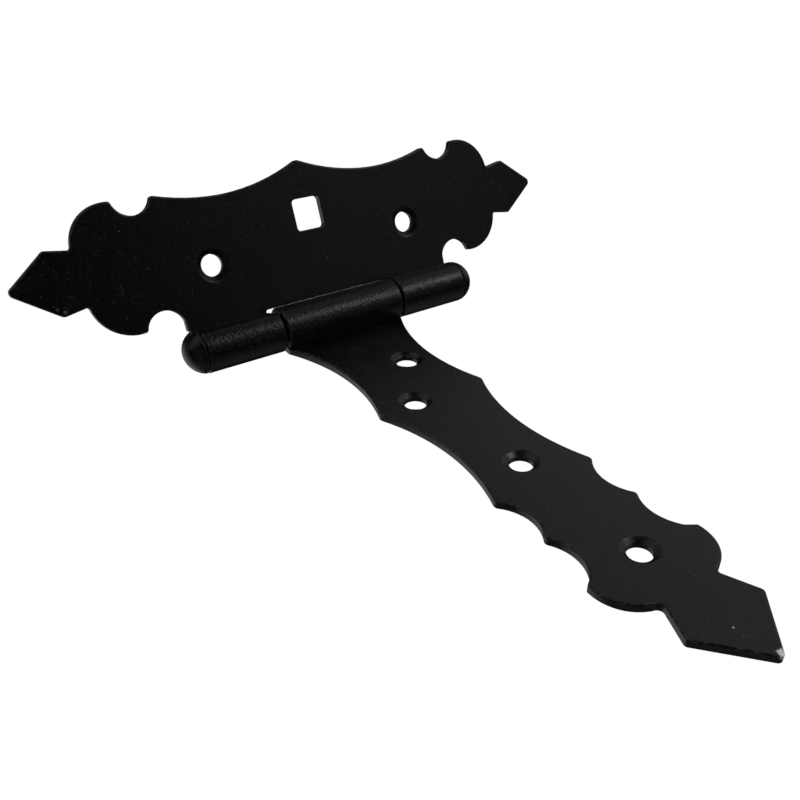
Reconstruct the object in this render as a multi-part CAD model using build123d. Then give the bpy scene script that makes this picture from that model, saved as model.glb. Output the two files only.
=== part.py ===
from build123d import *
import math
import os

# Ornamental T-hinge for a gate: a scalloped cross plate for the post and a
# long scalloped strap for the gate, stamped from one sheet and rolled round
# one riveted pin. Z runs along the pin, which stands upright in use. Y = 0 is
# the face that lies on the post, and the plate's screw holes are at X = 0.
# The strap is folded out towards -Y.

# Main sizes: both leaves, their sheet, and the barrel they are rolled into
plate_half = 75.0
strap_length = 145.0
sheet = 2.0
barrel_r = 5.6
bore_r = barrel_r - sheet
edge_break = 0.25

# Fold of the strap away from flat, in degrees
fold = 69.4

# Rolled knuckles: the end of each roll stops just short of its own leaf, and
# the lower knuckle's roll is pressed flat on the side towards its leaf
roll_gap = 0.15
pressed_flat = 4.5

# Barrel, from the middle of the pin along its axis
slot_half = 18.0
centre_half = 17.2
strap_slide = 0.15
outer_end = 38.6

# Pin and its riveted heads
pin_clearance = 0.06
pin_r = bore_r - pin_clearance
head_gap = 0.2
head_r = 5.45
head_land = 0.4
head_dome = 4.0

# Screw holes, countersunk from the front
screw_r = 2.75
sink_r = 4.05
sink_depth = 0.9

# Cross plate, drawn from its own middle: first along the pin, then up
plate_mid = 22.5
peak = (0, 17.35)
peak_round = 1.5
long_dip = (0.28 * plate_half, 12.5)
long_end = (outer_end + 0.45, 15.05)
long_round = 0.9
small_dip = (long_end[0] + 4.45, 11.3)
lobe_r = 9.8
lobe_centre = (plate_half - 25.0, 5.6)
lobe_turns = (99.5, 45.0, 5.3)
lobe_start_round = 0.8
notch_round = 0.7
shoulder = (plate_half - 9.4, 7.5)
shoulder_round = 1.0
plate_point = (plate_half + 0.8, 0)
plate_point_round = 1.2
side_edge = outer_end + 0.5
side_top = 14.8
side_step = 17.5
slot_top = 5.17
slot_round = 0.6
plate_hole_x = 28.6
plate_hole_y = -3.5
square_side = 8.0
square_round = 1.0
square_y = 3.9

# Strap, drawn from the pin's axis: first along the strap, then across. Its
# root is placed from the barrel, and the peaks after the first from its end
root_end = (4.2, centre_half)
root_dip = (27.0, 11.9)
first_peak = (43.4, 15.05)
first_round = 1.5
second_peak = (strap_length - 60.8, 13.75)
second_round = 1.2
second_dip = ((first_peak[0] + second_peak[0]) / 2 + 0.7, 10.15)
third_dip = (strap_length - 53.5, 10.45)
third_peak = (strap_length - 46.4, 12.85)
third_round = 1.0
fourth_dip = (strap_length - 40.3, 10.75)
strap_lobe_r = 10.0
strap_lobe_centre = (strap_length - 30.7, 5.35)
strap_lobe_turns = (97.4, 45.0, 10.9)
strap_lobe_round = 0.8
fourth_end = (strap_lobe_centre[0] - 2.8, 13.0)
fourth_round = 2.0
strap_notch_round = 1.2
strap_shoulder = (strap_length - 12.2, 10.85)
strap_shoulder_round = 1.0
strap_point = (strap_length + 0.45, 0)
strap_point_round = 1.0
strap_holes = [
    (25.3, 4.8),
    (43.1, -4.8),
    (strap_length - 68.6, 0),
    (strap_length - 33.2, 0),
]

# The pin's axis in the part's frame
pin_x = plate_mid + plate_hole_y
pin_y = -barrel_r
pin_axis = Axis((pin_x, pin_y, 0), (0, 0, 1))

# Drawing planes on the two back faces, each facing the front
plate_plane = Plane(origin=(plate_hole_y, 0, 0), x_dir=(0, 0, 1), z_dir=(0, -1, 0))
strap_plane = Plane(origin=(pin_x, 0, strap_slide), x_dir=(1, 0, 0), z_dir=(0, -1, 0))

# Smallest length that counts as a difference when a point is looked up
near = 0.01


def flip(point):
    """The same point below the centreline."""
    return (point[0], -point[1])


def on_circle(centre, radius, degrees):
    """Point of a circle at an angle counted from the first axis."""
    angle = math.radians(degrees)
    return (centre[0] + radius * math.cos(angle), centre[1] + radius * math.sin(angle))


def rounded(face, rounds):
    """Round the corners at the given places, and at their mirror images."""
    for (x, y), radius in rounds:
        spots = [v for v in face.vertices() if math.hypot(abs(v.X) - x, v.Y - y) < near]
        face = face.fillet_2d(radius, spots)
    return face


def plate_outline():
    """Closed outline of the cross plate, down to where the barrel starts."""
    low = -plate_mid
    step = -side_step
    slot_edge = slot_top - plate_mid
    lobe_start, lobe_far, notch = [on_circle(lobe_centre, lobe_r, a) for a in lobe_turns]
    half = [
        ThreePointArc(peak, long_dip, long_end),
        ThreePointArc(long_end, small_dip, lobe_start),
        ThreePointArc(lobe_start, lobe_far, notch),
        Line(notch, shoulder),
        Line(shoulder, plate_point),
        Line(plate_point, flip(shoulder)),
        Line(flip(shoulder), flip(notch)),
        ThreePointArc(flip(notch), flip(lobe_far), flip(lobe_start)),
        ThreePointArc(flip(lobe_start), flip(small_dip), (side_edge, -side_top)),
        Line((side_edge, -side_top), (side_edge, step)),
        Line((side_edge, step), (outer_end, step)),
        Line((outer_end, step), (outer_end, low)),
        Line((outer_end, low), (slot_half, low)),
        Line((slot_half, low), (slot_half, slot_edge)),
        Line((slot_half, slot_edge), (0, slot_edge)),
    ]
    other = [edge.mirror(Plane.YZ) for edge in half]
    face = make_face(half + other).face()
    return rounded(face, [
        (peak, peak_round),
        (long_end, long_round),
        (lobe_start, lobe_start_round),
        (notch, notch_round),
        (shoulder, shoulder_round),
        (plate_point, plate_point_round),
        (flip(shoulder), shoulder_round),
        (flip(notch), notch_round),
        (flip(lobe_start), lobe_start_round),
        ((slot_half, slot_edge), slot_round),
    ])


def strap_outline():
    """Closed outline of the strap, from the pin's axis to the arrow tip."""
    lobe_start, lobe_far, notch = [
        on_circle(strap_lobe_centre, strap_lobe_r, a) for a in strap_lobe_turns]
    half = [
        Line((0, 0), (0, centre_half)),
        Line((0, centre_half), root_end),
        ThreePointArc(root_end, root_dip, first_peak),
        ThreePointArc(first_peak, second_dip, second_peak),
        ThreePointArc(second_peak, third_dip, third_peak),
        ThreePointArc(third_peak, fourth_dip, fourth_end),
        Line(fourth_end, lobe_start),
        ThreePointArc(lobe_start, lobe_far, notch),
        Line(notch, strap_shoulder),
        Line(strap_shoulder, strap_point),
    ]
    other = [edge.mirror(Plane.XZ) for edge in half]
    face = make_face(half + other).face()
    rounds = [
        (first_peak, first_round),
        (second_peak, second_round),
        (third_peak, third_round),
        (fourth_end, fourth_round),
        (lobe_start, strap_lobe_round),
        (notch, strap_notch_round),
        (strap_shoulder, strap_shoulder_round),
    ]
    both = rounds + [(flip(point), radius) for point, radius in rounds]
    return rounded(face, both + [(strap_point, strap_point_round)])


def broken(leaf, start):
    """Break the stamped edges of a flat leaf on both faces, from start onwards."""
    chosen = []
    for edge in leaf.edges():
        box = edge.bounding_box()
        level = box.max.Z - box.min.Z < near
        outer = level and min(abs(box.min.Z), abs(box.min.Z - sheet)) < near
        if outer and start(box):
            chosen.append(edge)
    return chamfer(chosen, edge_break)


def screw_hole(place):
    """Cutter for one screw hole: a shaft hole that opens into a cone."""
    shaft = Pos(*place, sheet / 2) * Cylinder(screw_r, 3 * sheet)
    slope = (sink_r - screw_r) / sink_depth
    height = 2 * sink_depth
    sink = Pos(*place, sheet - sink_depth) * Cone(
        screw_r, screw_r + slope * height, height,
        align=(Align.CENTER, Align.CENTER, Align.MIN))
    return shaft + sink


def rim(radius, angle, side):
    """Point of the barrel, at an angle from its back towards the leaf's side."""
    a = math.radians(angle)
    return (pin_x + side * radius * math.sin(a), pin_y + radius * math.cos(a))


def roll(low, high, side):
    """Rolled knuckle between two heights; side is -1 for a leaf towards -X."""
    end = math.degrees(math.acos((bore_r - roll_gap) / barrel_r)) - 360
    section = make_face([
        ThreePointArc(rim(barrel_r, 0, side), rim(barrel_r, end / 2, side), rim(barrel_r, end, side)),
        ThreePointArc(rim(bore_r, 0, side), rim(bore_r, end / 2, side), rim(bore_r, end, side)),
        Line(rim(barrel_r, 0, side), rim(bore_r, 0, side)),
        Line(rim(barrel_r, end, side), rim(bore_r, end, side)),
    ])
    knuckle = Pos(0, 0, low) * extrude(section, amount=high - low)
    rims = [e for e in knuckle.edges() if e.geom_type == GeomType.CIRCLE and e.radius > bore_r + near]
    return chamfer(rims, edge_break)


def make_cross_plate():
    """Stamped cross plate with its slot, holes and two rolled knuckles."""
    leaf = broken(extrude(plate_outline(), amount=sheet), lambda box: box.min.Y > -side_step - near)
    for x in (plate_hole_x, -plate_hole_x):
        leaf -= screw_hole((x, plate_hole_y))
    square = RectangleRounded(square_side, square_side, square_round)
    leaf -= extrude(Pos(0, square_y, -sheet) * square, amount=3 * sheet)
    leaf = plate_plane * leaf
    lower = roll(-outer_end, -slot_half, -1)
    press = Box(2 * barrel_r, 2 * barrel_r, 3 * outer_end, align=(Align.MAX, Align.CENTER, Align.CENTER))
    lower -= Pos(pin_x - pressed_flat, pin_y, 0) * press
    return leaf + lower + roll(slot_half, outer_end, -1)


def make_strap():
    """Stamped strap with its four screw holes and the centre knuckle."""
    leaf = broken(extrude(strap_outline(), amount=sheet), lambda box: box.max.X > root_end[0] + near)
    for place in strap_holes:
        leaf -= screw_hole(place)
    leaf = strap_plane * leaf
    leaf += roll(strap_slide - centre_half, strap_slide + centre_half, 1)
    return leaf.rotate(pin_axis, -fold)


def make_pin():
    """Riveted pin: a plain shaft with a domed head closed on each end."""
    start = outer_end + head_gap
    land = start + head_land
    top = land + head_dome
    sphere_r = (head_r ** 2 + head_dome ** 2) / (2 * head_dome)
    lean = math.acos((sphere_r - head_dome) / sphere_r) / 2
    via = (sphere_r * math.sin(lean), top - sphere_r * (1 - math.cos(lean)))
    profile = make_face([
        Line((0, 0), (0, top)),
        ThreePointArc((0, top), via, (head_r, land)),
        Line((head_r, land), (head_r, start + edge_break)),
        Line((head_r, start + edge_break), (head_r - edge_break, start)),
        Line((head_r - edge_break, start), (pin_r, start)),
        Line((pin_r, start), (pin_r, 0)),
        Line((pin_r, 0), (0, 0)),
    ])
    half = revolve(Plane.XZ * profile, Axis.Z)
    return Pos(pin_x, pin_y, 0) * (half + half.mirror(Plane.XY))


os.makedirs("parts", exist_ok=True)
export_step(make_cross_plate(), "parts/cross_plate.step")
export_step(make_strap(), "parts/strap.step")
export_step(make_pin(), "parts/hinge_pin.step")
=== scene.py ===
import math

import bpy
from mathutils import Matrix, Vector


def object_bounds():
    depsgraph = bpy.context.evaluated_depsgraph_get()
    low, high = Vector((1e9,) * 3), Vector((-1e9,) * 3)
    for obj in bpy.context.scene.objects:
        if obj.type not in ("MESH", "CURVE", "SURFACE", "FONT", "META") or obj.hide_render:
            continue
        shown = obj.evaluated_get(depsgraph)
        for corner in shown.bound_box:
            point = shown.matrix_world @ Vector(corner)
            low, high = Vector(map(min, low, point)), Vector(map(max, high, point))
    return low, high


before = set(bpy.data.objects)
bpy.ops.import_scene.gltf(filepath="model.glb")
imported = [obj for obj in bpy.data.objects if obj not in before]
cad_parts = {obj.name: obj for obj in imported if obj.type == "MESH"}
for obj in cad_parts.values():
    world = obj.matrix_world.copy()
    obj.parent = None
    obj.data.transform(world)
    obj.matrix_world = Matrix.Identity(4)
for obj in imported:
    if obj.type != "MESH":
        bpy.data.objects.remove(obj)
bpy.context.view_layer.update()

# Camera, recovered from the outlines of both leaves, the barrel and the holes
PICTURE = 800
FOCAL = 881.74
CENTRE = (473.5, 476.25)
EYE = (-0.0138584, -0.2212493, -0.1070749)
RIGHT = (0.176296, -0.587453, 0.789822)
DOWN = (0.924884, -0.175776, -0.337182)
FORWARD = (0.33691, 0.789937, 0.512338)
SENSOR = 36.0

# Light
SOFTBOXES = [
    # name, direction it stands in, distance, width, height, watts
    ("key_softbox", (-0.54, -0.64, 0.58), 0.62, 0.26, 0.10, 0.95),
]
AIM = (0.030, -0.030, 0.0)

# Soft bright areas of the room: direction, cosines where each starts and is full, level
ROOM_LEVEL = 0.003
ROOM = [
    ("window", (-0.60, 0.00, 0.80), 0.65, 1.00, 0.60),
    ("front_wall", (0.05, -0.86, 0.50), 0.96, 1.00, 0.50),
    ("reflector", (0.34, 0.79, -0.51), 0.75, 0.95, 1.00),
    ("side_window", (-0.80, 0.15, -0.55), 0.72, 0.95, 0.95),
    ("back_window", (-0.62, 0.76, 0.18), 0.92, 1.00, 0.60),
    ("end_wall", (0.06, -0.64, -0.77), 0.80, 1.00, 0.22),
    ("table", (0.85, -0.15, 0.45), 0.75, 0.95, 0.24),
    ("table_end", (0.85, -0.10, -0.50), 0.80, 0.98, 0.26),
]

MM = 0.001

# Floor: half of its side in metres, and how far it lies under the hinge, in mm
FLOOR_HALF = 3.0
FLOOR_DROP = 0.4

# Coat, in mm: feature sizes of its textures, width of the worn edges with their painted
# highlight, depth of the relief, and distances from the pin's axis where the coat of the
# barrel starts and is full
PEEL_SIZE = 1.1
GRAIN_SIZE = 0.5
CLOUD_SIZE = 9.0
MOTTLE_SIZE = 0.6
EDGE_PATCH_SIZE = 1.6
SPECK_SPACING = 1.5
EDGE_WIDTH = 0.5
RELIEF_DEPTH = 0.10
BARREL_COAT = (7.0, 5.7)

# The coat's refraction, and its share of the usual mirror strength
COAT_IOR = 1.45
COAT_MIRROR = 0.3

# Fold of the strap away from flat, in degrees
FOLD = 69.4

# Hairline scratches: directions in a leaf's plane in radians, length in mm, length to width
HAIR_SLANTS = (0.35, 1.25, 2.30)
HAIR_LENGTH = 4.0
HAIR_STRETCH = 16.0

# The pin's axis, and the leaves' small nicks in the coat, with one painted highlight on the strap's
# tip among them: place and radius in mm, and colour
PIN = (0.0190, -0.0056, 0.0)
PLATE_CHIPS = [
    ((2.9, -2.0, -65.1), 0.50, 0.10),
    ((2.0, -2.0, -66.6), 0.40, 0.06),
    ((-8.6, -2.0, -66.2), 0.30, 0.03),
    ((-6.3, -2.0, -64.8), 0.26, 0.03),
    ((-1.5, -2.0, -69.0), 0.26, 0.03),
]
STRAP_CHIPS_AND_HIGHLIGHT = [
    ((70.1, -131.3, -1.7), 0.28, 0.55),
    # A painted highlight: the bright spot on the rounded edge of the strap's tip, a reflection of
    # the light laid in as a nick's colour
    ((73.2, -139.4, 0.4), 1.1, 0.75),
]


class Value:
    """A number in a shader. Plus, minus, times and > on it add Math nodes."""

    def __init__(self, shop, socket):
        self.shop = shop
        self.socket = socket

    def __add__(self, other):
        return self.shop.maths("ADD", self, other)

    def __radd__(self, other):
        return self.shop.maths("ADD", other, self)

    def __sub__(self, other):
        return self.shop.maths("SUBTRACT", self, other)

    def __rsub__(self, other):
        return self.shop.maths("SUBTRACT", other, self)

    def __mul__(self, other):
        return self.shop.maths("MULTIPLY", self, other)

    def __rmul__(self, other):
        return self.shop.maths("MULTIPLY", other, self)

    def __gt__(self, other):
        return self.shop.maths("GREATER_THAN", self, other)

    def clamped(self):
        return self.shop.maths("MAXIMUM", self.shop.maths("MINIMUM", self, 1.0), 0.0)

    def ramp(self, low, high):
        """0 at low, 1 at high and smooth between; low may be above high."""
        settings = {"interpolation_type": "SMOOTHSTEP"}
        if low < high:
            return self.shop.node("ShaderNodeMapRange", settings, {
                "Value": self, "From Min": low, "From Max": high})["Result"]
        return 1.0 - self.ramp(high, low)


class Shop:
    """The nodes of one material or of the world."""

    def __init__(self, tree):
        self.tree = tree
        tree.nodes.clear()

    def node(self, kind, settings=None, sockets=None):
        """Adds a node, sets its settings first, then its sockets' values or links."""
        made = self.tree.nodes.new(kind)
        for name, value in (settings or {}).items():
            setattr(made, name, value)
        for name, value in (sockets or {}).items():
            socket = made.inputs[name]
            if isinstance(value, Value):
                self.tree.links.new(value.socket, socket)
            else:
                socket.default_value = value
        return Outputs(self, made)

    def maths(self, operation, first, second):
        return self.node("ShaderNodeMath", {"operation": operation}, {0: first, 1: second})[0]

    def blend(self, factor, first, second):
        """Colour that goes from first to second."""
        return self.node("ShaderNodeMix", {"data_type": "RGBA"}, {
            "Factor": factor, 6: first, 7: second})[2]

    def noise(self, place, size_mm, detail=2.0, rough=0.5):
        """Noise whose features are about size_mm across."""
        return self.node("ShaderNodeTexNoise", {}, {
            "Vector": place, "Scale": 1.0 / (size_mm * MM), "Detail": detail,
            "Roughness": rough})["Fac"]


class Outputs:
    """A made node, whose outputs are picked by name or number."""

    def __init__(self, shop, made):
        self.shop = shop
        self.made = made

    def __getitem__(self, key):
        return Value(self.shop, self.made.outputs[key])


def grey(level, warm=0.0):
    """A nearly neutral colour, a little warmer or cooler."""
    return (level * (1.0 + warm), level, level * (1.0 - warm), 1.0)


def lay_chips_and_highlights(shop, own, colour, chips_and_highlights, ragged):
    """Lays small uncoated nicks, and painted highlights, with ragged rims over the coat's colour.
    """
    for place, radius, level in chips_and_highlights:
        away = shop.node("ShaderNodeVectorMath", {"operation": "DISTANCE"}, {
            0: own, 1: [v * MM for v in place]})["Value"]
        chip_and_highlight_mask = (away + (ragged - 0.5) * (1.6 * radius * MM)).ramp(radius * MM, 0.6 * radius * MM)
        colour = shop.blend(chip_and_highlight_mask, colour, grey(level, 0.01))
    return colour


def black_coat(name, tone, gloss, relief, speck_share, edge_wear_and_highlight, turn, chips_and_highlights):
    """Satin black powder coat: orange peel, mottling, dust, scratches, lighter worn edges that are
    partly a painted highlight, small nicks, and a painted highlight on the strap's tip.

    tone is its colour, gloss its roughness, relief and wear scale the bumps and the
    worn edges with their painted highlight, and turn lays the textures along the leaf.
    """
    material = bpy.data.materials.new(name)
    material.use_nodes = True
    shop = Shop(material.node_tree)
    own = shop.node("ShaderNodeTexCoord")["Object"]
    place = shop.node("ShaderNodeMapping", {}, {"Vector": own, "Rotation": turn})["Vector"]

    # The coat is coarser where the sheet was rolled round the pin
    across = shop.node("ShaderNodeVectorMath", {"operation": "MULTIPLY"}, {
        0: own, 1: (1.0, 1.0, 0.0)})["Vector"]
    from_pin = shop.node("ShaderNodeVectorMath", {"operation": "DISTANCE"}, {
        0: across, 1: PIN})["Value"]
    rolled = from_pin.ramp(BARREL_COAT[0] * MM, BARREL_COAT[1] * MM)

    # Orange peel of the powder, a finer sandy grain, and light and dark patches
    peel = shop.noise(place, PEEL_SIZE, 2.0, 0.55)
    grain = shop.noise(place, GRAIN_SIZE, 2.0, 0.6)
    cloud = shop.noise(place, CLOUD_SIZE, 3.0, 0.6)
    mottle = shop.noise(place, MOTTLE_SIZE, 4.0, 0.75)

    # Edges, where the coat is thin and worn; their lighter colour is partly worn coat and partly a
    # painted highlight along every edge
    soft = shop.node("ShaderNodeBevel", {"samples": 4}, {
        "Radius": EDGE_WIDTH * MM})["Normal"]
    flat = shop.node("ShaderNodeNewGeometry")["True Normal"]
    turned = shop.node("ShaderNodeVectorMath", {"operation": "DOT_PRODUCT"}, {
        0: soft, 1: flat})["Value"]
    edge = turned.ramp(0.985, 0.80)
    patches = shop.noise(place, EDGE_PATCH_SIZE, 3.0, 0.7).ramp(0.44, 0.62)
    rubbed_and_highlit = (edge * patches * edge_wear_and_highlight).clamped()

    # Dust and small bright specks
    cells = shop.node("ShaderNodeTexVoronoi", {}, {
        "Vector": place, "Scale": 1.0 / (SPECK_SPACING * MM)})
    lot = shop.node("ShaderNodeSeparateColor", {}, {"Color": cells["Color"]})["Red"]
    size = 0.04 + lot.ramp(1.0 - speck_share, 1.0) * 0.07
    speck = cells["Distance"].ramp(0.14, 0.05) * (lot > 1.0 - speck_share) * size * 9.0

    # Hairline scratches: noise drawn out along a few directions and broken up
    hairs = 0.0
    for slant in HAIR_SLANTS:
        drawn = shop.node("ShaderNodeMapping", {"vector_type": "TEXTURE"}, {
            "Vector": place, "Rotation": (0.0, slant, 0.0),
            "Scale": (1.0, 1.0 / HAIR_STRETCH, 1.0 / HAIR_STRETCH)})["Vector"]
        hairs = hairs + shop.noise(drawn, HAIR_LENGTH, 1.0).ramp(0.69, 0.75)
    scratch = (hairs * shop.noise(place, 4.0).ramp(0.44, 0.60)).clamped()

    colour = shop.blend((mottle.ramp(0.42, 0.70) + 0.5 * (cloud - 0.5)).clamped(),
                        grey(tone * 0.3, -0.01), grey(tone * 3.5, 0.015))
    colour = shop.blend((speck * 0.55).clamped(), colour, grey(0.20, 0.01))
    colour = shop.blend(scratch * 0.35, colour, grey(0.10))
    # Lighter worn edges: partly worn coat, partly a painted highlight along the edges
    colour = shop.blend(rubbed_and_highlit * 0.7, colour, grey(0.30, 0.02))
    # Uncoated nicks, and the painted highlight on the strap's tip
    colour = lay_chips_and_highlights(shop, own, colour, chips_and_highlights, mottle)

    roughness = gloss + 0.16 * (mottle - 0.5) + 0.12 * (cloud - 0.5) + speck * 0.2
    height = (peel + 0.8 * grain) * (0.35 + 0.75 * rolled) * relief + speck * 0.3 - scratch * 0.2
    normal = shop.node("ShaderNodeBump", {}, {
        "Strength": 1.0, "Distance": RELIEF_DEPTH * MM, "Height": height, "Normal": soft})["Normal"]
    shader = shop.node("ShaderNodeBsdfPrincipled", {}, {
        "Base Color": colour, "Roughness": roughness.clamped(), "Metallic": rubbed_and_highlit * 0.5,
        "Normal": normal, "IOR": COAT_IOR, "Specular IOR Level": COAT_MIRROR})
    shop.node("ShaderNodeOutputMaterial", {}, {"Surface": shader["BSDF"]})
    return material


def dress(node, material):
    """Puts the material in every slot of a CAD node."""
    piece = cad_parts[node]
    for slot in piece.material_slots:
        slot.material = material


def add_camera():
    """The photograph's camera."""
    data = bpy.data.cameras.new("photo_camera")
    data.sensor_width = SENSOR
    data.lens = FOCAL * SENSOR / PICTURE
    data.shift_x = (PICTURE / 2 - CENTRE[0]) / PICTURE
    data.shift_y = (CENTRE[1] - PICTURE / 2) / PICTURE
    data.clip_start = 0.01
    data.clip_end = 10.0
    camera = bpy.data.objects.new("photo_camera", data)
    axes = Matrix([RIGHT, [-v for v in DOWN], [-v for v in FORWARD]]).transposed()
    camera.matrix_world = Matrix.Translation(EYE) @ axes.to_4x4()
    bpy.context.scene.collection.objects.link(camera)
    bpy.context.scene.camera = camera


def add_softboxes():
    """Rectangular area lamps that face the hinge."""
    for name, way, distance, width, height, watts in SOFTBOXES:
        data = bpy.data.lights.new(name, "AREA")
        data.shape = "RECTANGLE"
        data.size = width
        data.size_y = height
        data.energy = watts
        lamp = bpy.data.objects.new(name, data)
        way = Vector(way).normalized()
        lamp.location = Vector(AIM) + way * distance
        lamp.rotation_mode = "QUATERNION"
        lamp.rotation_quaternion = way.to_track_quat("Z", "X")
        bpy.context.scene.collection.objects.link(lamp)


def add_world():
    """White to the camera; for the coat's reflections a dark room with soft bright areas."""
    world = bpy.data.worlds.new("studio")
    world.use_nodes = True
    bpy.context.scene.world = world
    shop = Shop(world.node_tree)
    way = shop.node("ShaderNodeTexCoord")["Generated"]
    room = ROOM_LEVEL
    for name, centre, start, full, level in ROOM:
        cosine = shop.node("ShaderNodeVectorMath", {"operation": "DOT_PRODUCT"}, {
            0: way, 1: Vector(centre).normalized()})["Value"]
        room = room + level * cosine.ramp(start, full)
    camera = shop.node("ShaderNodeLightPath")["Is Camera Ray"]
    light = shop.node("ShaderNodeBackground", {}, {
        "Color": (1.0, 1.0, 1.0, 1.0), "Strength": camera + (1.0 - camera) * room})["Background"]
    shop.node("ShaderNodeOutputWorld", {}, {"Surface": light})


def add_floor():
    """Pale floor under the hinge, seen from above only and clear to mirror rays."""
    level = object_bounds()[0][2] - FLOOR_DROP * MM
    corners = [(FLOOR_HALF * x, FLOOR_HALF * y, level)
               for x, y in ((-1, -1), (1, -1), (1, 1), (-1, 1))]
    mesh = bpy.data.meshes.new("floor")
    mesh.from_pydata(corners, [], [(0, 1, 2, 3)])
    floor = bpy.data.objects.new("floor", mesh)
    bpy.context.scene.collection.objects.link(floor)
    material = bpy.data.materials.new("pale_floor")
    material.use_nodes = True
    shop = Shop(material.node_tree)
    place = shop.node("ShaderNodeTexCoord")["Object"]
    tone = shop.noise(place, 60.0, 3.0)
    colour = shop.blend(tone, grey(0.78, 0.004), grey(0.82, 0.004))
    matt = shop.node("ShaderNodeBsdfDiffuse", {}, {"Color": colour})["BSDF"]
    clear = shop.node("ShaderNodeBsdfTransparent")["BSDF"]
    under = shop.node("ShaderNodeNewGeometry")["Backfacing"]
    mirrored = shop.node("ShaderNodeLightPath")["Is Glossy Ray"]
    gone = (under + mirrored).clamped()
    both = shop.node("ShaderNodeMixShader", {}, {0: gone, 1: matt, 2: clear})["Shader"]
    shop.node("ShaderNodeOutputMaterial", {}, {"Surface": both})
    mesh.materials.append(material)


add_camera()
dress("cross_plate", black_coat(
    "coat_plate", tone=0.0014, gloss=0.33, relief=1.0, speck_share=0.10, edge_wear_and_highlight=1.0,
    turn=(0.0, 0.0, 0.0), chips_and_highlights=PLATE_CHIPS))
# The strap's coat gets a painted highlight at its tip, laid like a nick
dress("strap", black_coat(
    "coat_strap", tone=0.0020, gloss=0.34, relief=1.0, speck_share=0.08, edge_wear_and_highlight=1.0,
    turn=(0.0, 0.0, math.radians(-FOLD)), chips_and_highlights=STRAP_CHIPS_AND_HIGHLIGHT))
dress("hinge_pin", black_coat(
    "coat_pin", tone=0.0014, gloss=0.34, relief=0.5, speck_share=0.06, edge_wear_and_highlight=0.6,
    turn=(0.0, 0.0, 0.0), chips_and_highlights=[]))
add_softboxes()
add_world()
add_floor()

view = bpy.context.scene.view_settings
view.view_transform = "Standard"
